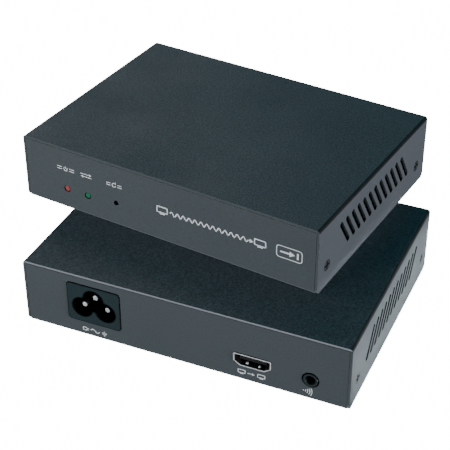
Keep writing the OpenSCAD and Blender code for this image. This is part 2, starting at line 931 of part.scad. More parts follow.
// A round capacitor with a pressed groove near its foot and a dished top.
module capacitor(r, h) {
    rotate_extrude()
        difference() {
            square([r, h]);
            translate([r, cap_groove_up])
                circle(cap_groove_r);
            translate([0, h - cap_groove_r])
                square([r - cap_sleeve_r, h]);
        }
}

module bulk_capacitors() {
    color([0.1, 0.12, 0.2]) {
        translate([bulk_cap_x, bulk_cap_y, board_top])
            capacitor(bulk_cap_r, bulk_cap_h);
        for (side = [-1, 1])
            translate([output_cap_x, transformer_y + side * output_cap_pitch / 2, board_top])
                capacitor(output_cap_r, output_cap_h);
    }
}

module film_capacitor() {
    color([0.75, 0.7, 0.3])
        translate([film_x, choke_y, board_top])
            linear_extrude(film_h)
                round_rect(film_w, film_l, box_corner_r);
}

module line_choke() {
    color([0.2, 0.35, 0.25])
        translate([choke_x, choke_y, board_top]) {
            translate([-choke_r, -choke_r, 0])
                cube([2 * choke_r, 2 * choke_r, choke_base_t]);
            rotate_extrude()
                translate([choke_r * choke_bore_share, 0])
                    square([choke_r * (1 - choke_bore_share), choke_h]);
        }
}

module fuse() {
    color([0.12, 0.1, 0.1])
        translate([fuse_x, fuse_y, board_top])
            cylinder(h = fuse_h, r = fuse_r);
}

module coupling_transformer() {
    color([0.1, 0.1, 0.12])
        translate([coupler_x, coupler_y, board_top])
            linear_extrude(coupler_h)
                round_rect(coupler_w, coupler_l, box_corner_r);
}

// A flat chip that is soldered to the board.
module chip(x, y, w, l) {
    translate([x - w / 2, y - l / 2, board_top])
        cube([w, l, chip_t]);
}

module chips() {
    color([0.1, 0.1, 0.11]) {
        chip(processor_x, processor_y, processor_side, processor_side);
        for (side = [-1, 1])
            chip(memory_x, processor_y + side * memory_pitch / 2, memory_w, memory_l);
        chip(hdmi_x, hdmi_back_y - port_chip_side, port_chip_side, port_chip_side);
    }
}

module heat_sink() {
    color([0.65, 0.66, 0.68])
        translate([processor_x - sink_side / 2, processor_y - sink_side / 2, board_top + chip_t]) {
            cube([sink_side, sink_side, sink_base_t]);
            for (i = [0 : fin_count - 1])
                translate([i * (sink_side - fin_t) / (fin_count - 1), 0, 0])
                    cube([fin_t, sink_side, sink_h]);
        }
}

// The receiving unit lies with its rear panel towards the front of the set.
module decoder() {
    translate([0, unit_d / 2, 0])
        rotate([0, 0, 180])
            children();
}

// The sending unit lies on the other one, a little turned, with its front panel forward.
module encoder() {
    translate([stack_x, stack_y, unit_h])
        rotate([0, 0, -stack_turn])
            children();
}

decoder() chassis();  // decoder_chassis
decoder() cover();  // decoder_cover
decoder() side_brackets();  // decoder_side_brackets
decoder() cover_screws();  // decoder_cover_screws
decoder() main_board();  // decoder_main_board
decoder() standoffs();  // decoder_standoffs
decoder() board_screws();  // decoder_board_screws
decoder() power_inlet();  // decoder_power_inlet
decoder() inlet_pins();  // decoder_inlet_pins
decoder() hdmi_shell();  // decoder_hdmi_shell
decoder() hdmi_tongue();  // decoder_hdmi_tongue
decoder() hdmi_contacts();  // decoder_hdmi_contacts
decoder() ir_jack();  // decoder_ir_jack
decoder() jack_contacts();  // decoder_jack_contacts
decoder() power_led();  // decoder_power_led
decoder() link_led();  // decoder_link_led
decoder() led_holders();  // decoder_led_holders
decoder() led_leads();  // decoder_led_leads
decoder() reset_switch();  // decoder_reset_switch
decoder() reset_button();  // decoder_reset_button
decoder() transformer_core();  // decoder_transformer_core
decoder() transformer_bobbin();  // decoder_transformer_bobbin
decoder() transformer_winding();  // decoder_transformer_winding
decoder() bulk_capacitors();  // decoder_bulk_capacitors
decoder() film_capacitor();  // decoder_film_capacitor
decoder() line_choke();  // decoder_line_choke
decoder() fuse();  // decoder_fuse
decoder() coupling_transformer();  // decoder_coupling_transformer
decoder() chips();  // decoder_chips
decoder() heat_sink();  // decoder_heat_sink
encoder() chassis();  // encoder_chassis
encoder() cover();  // encoder_cover
encoder() side_brackets();  // encoder_side_brackets
encoder() cover_screws();  // encoder_cover_screws
encoder() main_board();  // encoder_main_board
encoder() standoffs();  // encoder_standoffs
encoder() board_screws();  // encoder_board_screws
encoder() power_inlet();  // encoder_power_inlet
encoder() inlet_pins();  // encoder_inlet_pins
encoder() hdmi_shell();  // encoder_hdmi_shell
encoder() hdmi_tongue();  // encoder_hdmi_tongue
encoder() hdmi_contacts();  // encoder_hdmi_contacts
encoder() ir_jack();  // encoder_ir_jack
encoder() jack_contacts();  // encoder_jack_contacts
encoder() power_led();  // encoder_power_led
encoder() link_led();  // encoder_link_led
encoder() led_holders();  // encoder_led_holders
encoder() led_leads();  // encoder_led_leads
encoder() reset_switch();  // encoder_reset_switch
encoder() reset_button();  // encoder_reset_button
encoder() transformer_core();  // encoder_transformer_core
encoder() transformer_bobbin();  // encoder_transformer_bobbin
encoder() transformer_winding();  // encoder_transformer_winding
encoder() bulk_capacitors();  // encoder_bulk_capacitors
encoder() film_capacitor();  // encoder_film_capacitor
encoder() line_choke();  // encoder_line_choke
encoder() fuse();  // encoder_fuse
encoder() coupling_transformer();  // encoder_coupling_transformer
encoder() chips();  // encoder_chips
encoder() heat_sink();  // encoder_heat_sink
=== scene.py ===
import json
import math

import bpy
import numpy as np
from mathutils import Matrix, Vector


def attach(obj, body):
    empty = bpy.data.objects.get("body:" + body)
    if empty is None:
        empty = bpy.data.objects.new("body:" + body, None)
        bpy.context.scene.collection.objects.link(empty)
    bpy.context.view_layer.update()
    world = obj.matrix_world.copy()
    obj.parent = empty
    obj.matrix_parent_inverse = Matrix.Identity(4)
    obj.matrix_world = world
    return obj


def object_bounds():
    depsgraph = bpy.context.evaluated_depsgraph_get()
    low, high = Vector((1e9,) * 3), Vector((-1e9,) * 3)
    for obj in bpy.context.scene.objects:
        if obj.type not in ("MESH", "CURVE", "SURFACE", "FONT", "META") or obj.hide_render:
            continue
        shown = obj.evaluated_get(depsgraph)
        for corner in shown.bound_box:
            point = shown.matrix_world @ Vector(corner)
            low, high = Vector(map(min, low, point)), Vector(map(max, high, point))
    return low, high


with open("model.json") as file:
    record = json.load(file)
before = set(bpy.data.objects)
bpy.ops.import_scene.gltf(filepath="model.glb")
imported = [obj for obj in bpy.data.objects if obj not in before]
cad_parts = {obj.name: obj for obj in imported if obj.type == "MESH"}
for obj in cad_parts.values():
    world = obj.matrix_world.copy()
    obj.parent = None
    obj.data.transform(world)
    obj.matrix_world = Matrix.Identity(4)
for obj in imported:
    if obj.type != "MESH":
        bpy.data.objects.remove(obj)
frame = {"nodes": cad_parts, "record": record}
cad_low, cad_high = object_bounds()
nodes = frame["nodes"]
units = ("decoder", "encoder")

# The view. A long lens from the front right, a little over a third of the way up to overhead. The set
# stands in the frame of its lower unit, the decoder, whose rear panel faces the camera's side.
camera_place = (0.1668, -0.3898, 0.3244)
camera_tilt = math.radians(90 - 34.45)
camera_heading = math.radians(23.56)
camera_lens = 103.0
camera_sensor = 36
camera_nearest = 0.01
camera = bpy.data.objects.new("camera", bpy.data.cameras.new("camera"))
camera.data.lens = camera_lens
camera.data.sensor_width = camera_sensor
camera.data.clip_start = camera_nearest
camera.location = camera_place
camera.rotation_euler = (camera_tilt, 0, camera_heading)
bpy.context.collection.objects.link(camera)
bpy.context.scene.camera = camera


# The folded sheet: chassis, cover and welded brackets of both units. Punched and bent steel with a fine
# sandy powder coat in dark grey. Sharp edges get a painted highlight; bends that look up get painted shade
# and bends that look down a painted highlight.
def add_node(tree, kind, values=(), **settings):
    """A shader node with its settings, and a value or a link for each input named or numbered in values."""
    node = tree.nodes.new("ShaderNode" + kind)
    for key, value in settings.items():
        setattr(node, key, value)
    for key, value in dict(values).items():
        if isinstance(value, bpy.types.NodeSocket):
            tree.links.new(value, node.inputs[key])
        else:
            node.inputs[key].default_value = value
    return node


def calc(tree, operation, *terms):
    """One step of arithmetic on numbers or links."""
    return add_node(tree, "Math", dict(enumerate(terms)), operation=operation).outputs[0]


def ramp(tree, value, low, high, at_low=0.0, at_high=1.0):
    """A value that runs from at_low to at_high while the given one runs from low to high."""
    return add_node(tree, "MapRange", {0: value, 1: low, 2: high, 3: at_low, 4: at_high}).outputs[0]


def times(tree, colour, share):
    """A colour or a place, times a share."""
    return add_node(tree, "VectorMath", {0: colour, "Scale": share}, operation="SCALE").outputs[0]


def blend(tree, share, under, over):
    """One colour turned into another by a share."""
    return add_node(tree, "Mix", {0: share, 6: under, 7: over}, data_type="RGBA").outputs[2]


def place_on(tree):
    """A point's place in the object's own frame."""
    return add_node(tree, "TexCoord").outputs["Object"]


def looking_up(tree):
    """The upward part of a face's normal: 1 on level tops, 0 on upright faces, -1 on level undersides."""
    normal = add_node(tree, "NewGeometry").outputs["Normal"]
    return add_node(tree, "SeparateXYZ", {0: normal}).outputs["Z"]


def noise(tree, size, detail, roughness):
    """Noise with blotches of about the given size."""
    place = times(tree, place_on(tree), calc(tree, "DIVIDE", 1.0, size))
    return add_node(tree, "TexNoise", {"Vector": place, "Scale": 1.0, "Detail": detail,
                                       "Roughness": roughness}).outputs[0]


def new_effect(name, inputs, outputs):
    """An empty effect group with named sockets: its tree, the node its inputs come from and its end."""
    tree = bpy.data.node_groups.new(name, "ShaderNodeTree")
    for label, value in inputs.items():
        kind = {4: "NodeSocketColor", 3: "NodeSocketVector"}.get(np.size(value), "NodeSocketFloat")
        tree.interface.new_socket(name=label, in_out="INPUT", socket_type=kind).default_value = value
    for label in outputs:
        kind = "NodeSocketColor" if label == "Color" else "NodeSocketFloat"
        tree.interface.new_socket(name=label, in_out="OUTPUT", socket_type=kind)
    return tree, tree.nodes.new("NodeGroupInput").outputs, tree.nodes.new("NodeGroupOutput").inputs


# Grain: noise of the given size, as a height and as a lighter and darker shade of the colour.
grain, given, result = new_effect("grain", {"Color": (0.1, 0.1, 0.1, 1), "Size": 0.0006, "Contrast": 1.0},
                                  ("Color", "Height"))
speck = noise(grain, given["Size"], detail=2.5, roughness=0.6)
shade = calc(grain, "MULTIPLY_ADD", calc(grain, "SUBTRACT", speck, 0.5), given["Contrast"], 1.0)
grain.links.new(times(grain, given["Color"], shade), result["Color"])
grain.links.new(speck, result["Height"])

# Handling: wide soft clouds that run the roughness from one value to another.
handling, given, result = new_effect("handling", {"Size": 0.03, "Smooth": 0.4, "Rough": 0.6}, ("Roughness",))
cloud = noise(handling, given["Size"], detail=4.0, roughness=0.55)
cloud_low, cloud_high = 0.3, 0.7
handling.links.new(ramp(handling, cloud, cloud_low, cloud_high, given["Smooth"], given["Rough"]),
                   result["Roughness"])

# Edges: where a rounded normal leaves the true one there is an edge, and the colour turns to another: painted
# light, a highlight where the other colour is paler and shade where it is darker.
edges, given, result = new_effect("edges", {"Color": (0.1, 0.1, 0.1, 1), "Edge Color": (0.2, 0.2, 0.2, 1),
                                            "Radius": 0.0003, "Amount": 0.5}, ("Color",))
rounded = add_node(edges, "Bevel", {"Radius": given["Radius"]}, samples=6).outputs[0]
flat = add_node(edges, "NewGeometry").outputs["True Normal"]
agree = add_node(edges, "VectorMath", {0: rounded, 1: flat}, operation="DOT_PRODUCT").outputs["Value"]
edge_starts, edge_full = 0.99, 0.8
edge_shade_share = ramp(edges, agree, edge_starts, edge_full, 0.0, given["Amount"])
edges.links.new(blend(edges, edge_shade_share, given["Color"], given["Edge Color"]), result["Color"])

# Fold shading: where the face is neither level nor upright, and so on each fold and in the slanted slots, the
# coat's colour is multiplied by one share, painted shade, where the face looks up, and by another, a painted
# highlight, where it looks down.
fold_shading, given, result = new_effect("fold_shading", {"Color": (0.1, 0.1, 0.1, 1), "Upper": 0.2, "Lower": 1.5},
                                  ("Color",))
lean = looking_up(fold_shading)
square = calc(fold_shading, "MULTIPLY", lean, lean)
fold_starts, fold_full = 0.005, 0.03
tilted = ramp(fold_shading, calc(fold_shading, "MULTIPLY", square, calc(fold_shading, "SUBTRACT", 1.0, square)),
              fold_starts, fold_full)
share = add_node(fold_shading, "Mix", {0: calc(fold_shading, "GREATER_THAN", lean, 0.0), 2: given["Lower"],
                                3: given["Upper"]}).outputs[0]
share = add_node(fold_shading, "Mix", {0: tilted, 2: 1.0, 3: share}).outputs[0]
fold_shading.links.new(times(fold_shading, given["Color"], share), result["Color"])


def new_finish(name, colour, grain_size, contrast, roughness, bump=0.0, cloud_size=0.02, **constants):
    """A material with grain in its colour and height and clouds in its roughness, on the plain shader."""
    material = bpy.data.materials.new(name)
    material.use_nodes = True
    tree = material.node_tree
    shader = tree.nodes["Principled BSDF"]
    for label, value in constants.items():
        shader.inputs[label.replace("_", " ")].default_value = value
    specks = add_node(tree, "Group", node_tree=grain)
    for label, value in {"Color": (*colour, 1), "Size": grain_size, "Contrast": contrast}.items():
        specks.inputs[label].default_value = value
    clouds = add_node(tree, "Group", node_tree=handling)
    for label, value in {"Size": cloud_size, "Smooth": roughness[0], "Rough": roughness[1]}.items():
        clouds.inputs[label].default_value = value
    tree.links.new(specks.outputs["Color"], shader.inputs["Base Color"])
    tree.links.new(clouds.outputs["Roughness"], shader.inputs["Roughness"])
    if bump:
        raised = add_node(tree, "Bump", {"Strength": 1.0, "Distance": bump,
                                         "Height": specks.outputs["Height"]})
        tree.links.new(raised.outputs["Normal"], shader.inputs["Normal"])
    return material


def base_colour(material):
    """A material's tree, the socket of its shader's base colour, and what feeds it now."""
    tree = material.node_tree
    socket = tree.nodes["Principled BSDF"].inputs["Base Color"]
    return tree, socket, socket.links[0].from_socket


def add_effect(material, effect, **values):
    """An effect group put between a material's base colour and its shader."""
    tree, socket, before = base_colour(material)
    added = add_node(tree, "Group", node_tree=effect)
    for label, value in values.items():
        added.inputs[label.replace("_", " ")].default_value = value
    tree.links.new(before, added.inputs["Color"])
    tree.links.new(added.outputs["Color"], socket)


def paint_edge_shading(material, colour, radius, amount):
    """Edges painted to another colour as light: a painted highlight if it is paler, painted shade if it is
    darker.
    """
    add_effect(material, edges, Edge_Color=(*colour, 1), Radius=radius, Amount=amount)


def give(material, *pieces, to_units=units):
    """The material given to these pieces of both units."""
    for unit in to_units:
        for piece in pieces:
            for slot in nodes[f"{unit}_{piece}"].material_slots:
                slot.material = material


coat_colour = (0.056, 0.068, 0.076)
coat_edge_highlight = (0.17, 0.19, 0.2)
coat_contrast = 0.7
powder_coat = new_finish("powder_coat", coat_colour, grain_size=0.0007, contrast=coat_contrast,
                         roughness=(0.5, 0.62), bump=0.00003, cloud_size=0.04)
# Painted highlight: the sharp edges of the coat turn paler.
paint_edge_shading(powder_coat, coat_edge_highlight, radius=0.0003, amount=0.4)
# Painted shade on bends that look up and a painted highlight on bends that look down.
add_effect(powder_coat, fold_shading, Upper=0.02, Lower=2.1)

# The coat on level faces: its grain stands out more than on upright ones.
level_contrast = 2.5
coat_tree, coat_socket, coat_before = base_colour(powder_coat)
coat_up = looking_up(coat_tree)
coat_grain = next(n for n in coat_tree.nodes if n.type == "GROUP" and n.node_tree == grain)
coat_tree.links.new(calc(coat_tree, "MULTIPLY_ADD", calc(coat_tree, "MULTIPLY", coat_up, coat_up),
                         level_contrast, coat_contrast), coat_grain.inputs["Contrast"])

# The rear edge of the lower unit's top sheet: a painted highlight, a pale line along the cut edge of the
# sheet.
rear_edge_highlight = (0.25, 0.26, 0.29, 1)
highlight_depth = 0.00044
sheet_low, sheet_high = 0.0283, 0.0291
coat_place = add_node(coat_tree, "SeparateXYZ", {0: place_on(coat_tree)}).outputs
at_rear = calc(coat_tree, "LESS_THAN", coat_place["Y"], cad_low[1] + highlight_depth)
in_sheet = calc(coat_tree, "COMPARE", coat_place["Z"], (sheet_low + sheet_high) / 2,
                (sheet_high - sheet_low) / 2)
coat_tree.links.new(blend(coat_tree, calc(coat_tree, "MULTIPLY", at_rear, in_sheet), coat_before, rear_edge_highlight),
                    coat_socket)
give(powder_coat, "chassis", "cover", "side_brackets")

# Standoffs and board screws: zinc-plated steel. The standoffs are clinched into the base, and pan
# head screws hold the board on them.
zinc = new_finish("zinc", (0.6, 0.6, 0.57), grain_size=0.0004, contrast=0.5, roughness=(0.3, 0.5),
                  bump=0.00001, Metallic=1.0)
give(zinc, "standoffs", "board_screws")

# Circuit board: glass laminate with a green solder mask, which stands a little proud over the copper
# tracks. The tracks are the mortar of a brick pattern.
solder_mask = new_finish("solder_mask", (0.008, 0.085, 0.035), grain_size=0.0003, contrast=0.5,
                         roughness=(0.25, 0.4), cloud_size=0.01)
mask_tree, mask_socket, mask_colour = base_colour(solder_mask)
track_size = 0.006
track_width_share = 0.035
track_height = 0.00003
track_colour = (0.03, 0.2, 0.08, 1)
tracks = add_node(mask_tree, "TexBrick", {"Vector": place_on(mask_tree), "Scale": 1 / track_size,
                                          "Mortar Size": track_width_share, "Color1": (0, 0, 0, 1),
                                          "Color2": (0, 0, 0, 1), "Mortar": (1, 1, 1, 1)}).outputs["Color"]
mask_tree.links.new(blend(mask_tree, tracks, mask_colour, track_colour), mask_socket)
raised_tracks = add_node(mask_tree, "Bump", {"Strength": 0.6, "Distance": track_height, "Height": tracks})
mask_tree.links.new(raised_tracks.outputs["Normal"], mask_socket.node.inputs["Normal"])
give(solder_mask, "main_board")

# Cover screws: countersunk cross-head steel screws, oxidised black, with painted shade dark along the
# edges of head and cross.
screw_edge_shade = (0.0, 0.001, 0.001)
black_oxide = new_finish("black_oxide", (0.065, 0.078, 0.082), grain_size=0.0003, contrast=1.0,
                         roughness=(0.4, 0.5), bump=0.00001, Metallic=0.3, Specular_IOR_Level=0.1)
# Painted shade along the edges of the screw heads and crosses.
paint_edge_shading(black_oxide, screw_edge_shade, radius=0.0008, amount=1.0)
give(black_oxide, "cover_screws")

# Mains inlet: a black glass-filled moulding with a fine eroded texture, pushed into the panel from
# behind, with painted shade in a dark line round its face. Its recess is painted black inside as shade, and
# its three pins, turned brass with nickel plating, are painted dark as shade behind their tips, which alone
# stay bright.
# Recess shade: painted shade that takes a colour to near black from Start to End behind Place, along Inward.
recess_shade, given, result = new_effect("recess_shade", {"Color": (0.1, 0.1, 0.1, 1), "Place": (0, 0, 0),
                                              "Inward": (0, 1, 0), "Start": 0.0003, "End": 0.0005},
                                   ("Color",))
away = add_node(recess_shade, "VectorMath", {0: place_on(recess_shade), 1: given["Place"]},
                operation="SUBTRACT").outputs[0]
deep = add_node(recess_shade, "VectorMath", {0: away, 1: given["Inward"]}, operation="DOT_PRODUCT").outputs["Value"]
shade_left_inside = 0.02
kept = ramp(recess_shade, deep, given["Start"], given["End"], 1.0, shade_left_inside)
recess_shade.links.new(times(recess_shade, given["Color"], kept), result["Color"])


def paint_hole_shade(material, mount_name, start, end):
    """Painted shade in a hole: it goes to black over a short way, start to end, behind the face where a mount
    is.
    """
    mount = next(m for m in frame["record"]["mounts"] if m["name"] == mount_name)
    inward = [-v for v in mount["axis"]]
    add_effect(material, recess_shade, Place=mount["pos_m"], Inward=inward, Start=start, End=end)


inlet_gap_shade = (0.0, 0.001, 0.002)
for unit in units:
    inlet_black = new_finish(f"{unit}_inlet_black", (0.022, 0.037, 0.042), grain_size=0.0003, contrast=0.9,
                             roughness=(0.42, 0.55), bump=0.00003, Specular_IOR_Level=0.12)
    # Painted shade: a dark line round the inlet's face and black in its recess.
    paint_edge_shading(inlet_black, inlet_gap_shade, radius=0.0011, amount=1.0)
    paint_hole_shade(inlet_black, f"{unit}_mains_inlet", start=0.00002, end=0.0001)
    give(inlet_black, "power_inlet", to_units=[unit])
    pin_nickel = new_finish(f"{unit}_pin_nickel", (0.8, 0.79, 0.81), grain_size=0.0003, contrast=0.35,
                            roughness=(0.35, 0.5), bump=0.000004, Metallic=0.2)
    # Painted shade on the pins behind their tips.
    paint_hole_shade(pin_nickel, f"{unit}_mains_inlet", start=0.00195, end=0.0021)
    give(pin_nickel, "inlet_pins", to_units=[unit])

# Video socket: a stamped and folded shell, nickel plated, round a black tongue with two rows of gold-flashed
# contacts. Inside the shell, behind its rim, is painted shade, all but its two springs. The shell is soldered
# to the board.
unit_d = 0.098
encoder_turn = math.radians(7.2)
encoder_place = (-0.0225, -0.0156, 0.029)
socket_x = -0.0293
spring_off = 0.00255
spring_y = 0.0966
spring_z = 0.0078
spring_r = 0.0006


def in_set(unit, x, y, z):
    """Points of a unit's frame, turned and moved to where the unit lies in the set. The decoder is turned
    by half a turn about its middle, the encoder by encoder_turn: x' = x cos + y sin, y' = y cos - x sin."""
    if unit == "decoder":
        return np.stack([-x, unit_d / 2 - y, z], -1)
    cos, sin = math.cos(encoder_turn), math.sin(encoder_turn)
    return np.stack([encoder_place[0] + x * cos + y * sin,
                     encoder_place[1] - x * sin + y * cos, encoder_place[2] + z], -1)


for unit in units:
    shell_nickel = new_finish(f"{unit}_shell_nickel", (0.8, 0.79, 0.81), grain_size=0.0003, contrast=0.3,
                              roughness=(0.4, 0.5), bump=0.000004, Metallic=0.25)
    bright = base_colour(shell_nickel)[2]
    # Painted shade inside the shell behind its rim; the two springs keep the unshaded colour.
    paint_hole_shade(shell_nickel, f"{unit}_hdmi_socket", start=0.0001, end=0.0002)
    shell_tree, shell_socket, colour = base_colour(shell_nickel)
    shell_place = place_on(shell_tree)
    for side in (-1, 1):
        spring = in_set(unit, side * spring_off + socket_x, spring_y, spring_z)
        off = add_node(shell_tree, "VectorMath", {0: shell_place, 1: spring}, operation="DISTANCE")
        on_spring = calc(shell_tree, "LESS_THAN", off.outputs["Value"], spring_r)
        colour = blend(shell_tree, on_spring, colour, bright)
    shell_tree.links.new(colour, shell_socket)
    give(shell_nickel, "hdmi_shell", to_units=[unit])
gold_flash = new_finish("gold_flash", (0.8, 0.56, 0.2), grain_size=0.0003, contrast=0.4,
                        roughness=(0.18, 0.3), Metallic=1.0)
give(gold_flash, "hdmi_contacts")

# Small black mouldings: glass-filled nylon, from the tongue of the video socket to the switch and the
# bobbin. The chips, the coupling transformer and the fuse have bodies of black epoxy or nylon too.
socket_black = new_finish("socket_black", (0.011, 0.011, 0.012), grain_size=0.0003, contrast=0.8,
                          roughness=(0.35, 0.5), bump=0.00001)
give(socket_black, "hdmi_tongue", "led_holders", "reset_switch", "reset_button", "transformer_bobbin", "fuse",
     "coupling_transformer", "chips")

# Infrared jack: a satin black moulding, its collar through the panel's round hole. Its bore is painted
# black as shade just behind the face. Its leaf contacts and the lights' wires are nickel-plated.
jack_face_from_bore = -0.0067
jack_shade_from, jack_shade_to = 0.00005, 0.0003
for unit in units:
    jack_black = new_finish(f"{unit}_jack_black", (0.014, 0.026, 0.029), grain_size=0.0003, contrast=0.7,
                            roughness=(0.42, 0.55), bump=0.00001)
    # Painted shade in the bore, just behind the face.
    paint_hole_shade(jack_black, f"{unit}_ir_jack", start=jack_face_from_bore + jack_shade_from,
                  end=jack_face_from_bore + jack_shade_to)
    give(jack_black, "ir_jack", to_units=[unit])
nickel = new_finish("nickel", (0.72, 0.71, 0.68), grain_size=0.0003, contrast=0.35, roughness=(0.12, 0.25),
                    bump=0.000004, Metallic=1.0)
give(nickel, "jack_contacts", "led_leads")

# Lights: tinted epoxy with a diffusing filler, cast round the wires, one red for the power and one
# green for the link. Both are off in the photo.
lens_finish = {"grain_size": 0.0004, "contrast": 0.5, "roughness": (0.5, 0.6), "Specular_IOR_Level": 0.15}
red_epoxy = new_finish("red_epoxy", (0.36, 0.07, 0.075), **lens_finish)
give(red_epoxy, "power_led")
green_epoxy = new_finish("green_epoxy", (0.012, 0.17, 0.08), **lens_finish)
give(green_epoxy, "link_led")

# Power supply: a ground ferrite core, yellow polyester tape round the wire, capacitors in a shrunk
# sleeve, a moulded film capacitor and a coated ring core, all soldered to the board.
ferrite = new_finish("ferrite", (0.035, 0.035, 0.037), grain_size=0.0005, contrast=1.2,
                     roughness=(0.4, 0.6), bump=0.00002, Metallic=0.3)
give(ferrite, "transformer_core")
tape_yellow = new_finish("tape_yellow", (0.65, 0.42, 0.04), grain_size=0.0006, contrast=0.4,
                         roughness=(0.25, 0.35))
give(tape_yellow, "transformer_winding")
film_yellow = new_finish("film_yellow", (0.55, 0.42, 0.06), grain_size=0.0005, contrast=0.4,
                         roughness=(0.3, 0.42))
give(film_yellow, "film_capacitor")
core_green = new_finish("core_green", (0.02, 0.09, 0.045), grain_size=0.0006, contrast=0.8,
                        roughness=(0.3, 0.45))
give(core_green, "line_choke")
sleeve_blue = new_finish("sleeve_blue", (0.018, 0.02, 0.05), grain_size=0.0006, contrast=0.5,
                         roughness=(0.22, 0.34))
give(sleeve_blue, "bulk_capacitors")

# Heat sink: an extruded aluminium comb, sawn to length and left bare. Glue that conducts heat holds it
# on the processor.
bare_aluminium = new_finish("bare_aluminium", (0.58, 0.59, 0.6), grain_size=0.0004, contrast=0.5,
                            roughness=(0.3, 0.45), bump=0.00001, Metallic=1.0)
give(bare_aluminium, "heat_sink")


# Printed marks: white ink screened onto the coat, in plain signs. Each stroke is a thin flat bar, its
# foot sunk in the coat. Places on a panel are in millimetres from its lower left corner, seen from
# outside, and sizes are in millimetres too.
mm = 0.001
unit_half_w = 0.068
ink_top = 0.00003
ink_foot = -0.00002
corner_limit = 0.4
head_spread = 1.1
head_tip = 0.05
screen_corner = 0.3
screen_outline_share = 0.76
screen_foot_share = 0.44
turn_points = 16


def stroke(u, v, width, closed=False):
    """A flat bar along a path: each point is spread to both sides along the path's normal, by half the
    width and further at corners so that the bar keeps its width, and raised from foot to top."""
    path = np.stack([u, v], 1) * mm
    half = np.broadcast_to(np.asarray(width) * mm / 2, len(path))
    if closed:
        ahead = np.roll(path, -1, 0) - path
        behind = path - np.roll(path, 1, 0)
    else:
        steps = np.diff(path, axis=0)
        ahead = np.vstack([steps, steps[-1:]])
        behind = np.vstack([steps[:1], steps])
    ahead = ahead / np.linalg.norm(ahead, axis=1, keepdims=True)
    behind = behind / np.linalg.norm(behind, axis=1, keepdims=True)
    along = ahead + behind
    along = along / np.linalg.norm(along, axis=1, keepdims=True)
    reach = half / np.clip((along * ahead).sum(1), corner_limit, 1)
    side = np.stack([-along[:, 1], along[:, 0]], 1) * reach[:, None]
    foot = np.full((len(path), 1), ink_foot)
    top = np.full((len(path), 1), ink_top)
    ring = np.stack([np.hstack([path - side, foot]), np.hstack([path + side, foot]),
                     np.hstack([path + side, top]), np.hstack([path - side, top])], 1)
    start = np.arange(len(path) if closed else len(path) - 1)[:, None] * 4
    after = (start + 4) % (4 * len(path))
    corner = np.arange(4)
    turned = (corner + 1) % 4
    faces = np.stack([start + corner, after + corner, after + turned, start + turned], -1).reshape(-1, 4)
    if not closed:
        last = 4 * (len(path) - 1)
        faces = np.vstack([faces, [[0, 1, 2, 3]], [[last + 3, last + 2, last + 1, last]]])
    return ring.reshape(-1, 3), faces


def line(u0, v0, u1, v1, width):
    """A straight bar from one place to another."""
    return stroke(np.array([u0, u1]), np.array([v0, v1]), width)


def arc(u, v, radius, start, end, count=25):
    """Points of a circle round u, v from one angle to another in degrees: u + r cos a, v + r sin a."""
    angle = np.radians(np.linspace(start, end, count))
    return u + radius * np.cos(angle), v + radius * np.sin(angle)


def frame_line(u, v, w, h, radius, width):
    """A closed rectangle outline round u, v: four quarter circles joined by straight runs."""
    corners = [arc(u + sx * (w / 2 - radius), v + sy * (h / 2 - radius), radius, a, a + 90, count=5)
               for sx, sy, a in ((1, 1, 0), (-1, 1, 90), (-1, -1, 180), (1, -1, 270))]
    return stroke(np.concatenate([c[0] for c in corners]), np.concatenate([c[1] for c in corners]),
                  width, closed=True)


def arrow(u0, u1, v, width, head):
    """A straight shaft and a head that narrows from its foot to a point, from u0 to u1."""
    foot = u1 - math.copysign(head, u1 - u0)
    return [line(u0, v, foot, v, width), line(foot, v, u1, v, np.array([head * head_spread, head_tip]))]


def screen(u, v, w, h, width):
    """A display: its rounded outline and, under it, the line that it stands on."""
    outline_h = screen_outline_share * h
    outline_v = v + (h - outline_h) / 2
    foot_v = v - screen_foot_share * h
    return [frame_line(u, outline_v, w, outline_h, screen_corner, width),
            line(u - w / 4, foot_v, u + w / 4, foot_v, width)]


def wave(u0, u1, v, rise, turns, width):
    """A sine line from u0 to u1, with so many turns: v + rise sin(2 pi turns t), t from 0 to 1."""
    run = np.linspace(0, 1, turn_points * turns + 1)
    return [stroke(u0 + run * (u1 - u0), v + rise * np.sin(2 * np.pi * turns * run), width)]


# Over the lights and the pinhole: a power sign, arrows both ways and a turning arrow.
sign_v = 19.1
sign_r = 0.85
sign_line = 0.36
sign_row_off = 0.5
sign_top = 20.2
stem_foot = 19.2
power_u = 20.7
power_gap = 35
link_from, link_to = 28.2, 33.6
link_row_off = 0.6
link_line = 0.34
link_head = 1.1
reset_u = 44.5
turn_from, turn_to = 60, 350
turn_head_u = 44.9
turn_head_run = 0.6
turn_head_w = 1.1
power_dashes, power_dash = (16.5, 22.5), 2.4
reset_dashes, reset_dash = (40.9, 46.2), 1.9


def dashes(starts, length):
    """A pair of dashes at each start, one over the other."""
    return [line(u, sign_v + off, u + length, sign_v + off, sign_line)
            for u in starts for off in (-sign_row_off, sign_row_off)]


front_marks = {
    "power_mark": [stroke(*arc(power_u, sign_v, sign_r, 90 + power_gap, 450 - power_gap), sign_line),
                   line(power_u, stem_foot, power_u, sign_top, sign_line)]
                  + dashes(power_dashes, power_dash),
    "link_mark": arrow(link_from, link_to, sign_v + link_row_off, link_line, link_head)
                 + arrow(link_to, link_from, sign_v - link_row_off, link_line, link_head),
    "reset_mark": [stroke(*arc(reset_u, sign_v, sign_r, turn_from, turn_to), sign_line),
                   line(turn_head_u, sign_top, turn_head_u + turn_head_run, sign_top - turn_head_run,
                        np.array([turn_head_w, head_tip]))]
                  + dashes(reset_dashes, reset_dash),
}

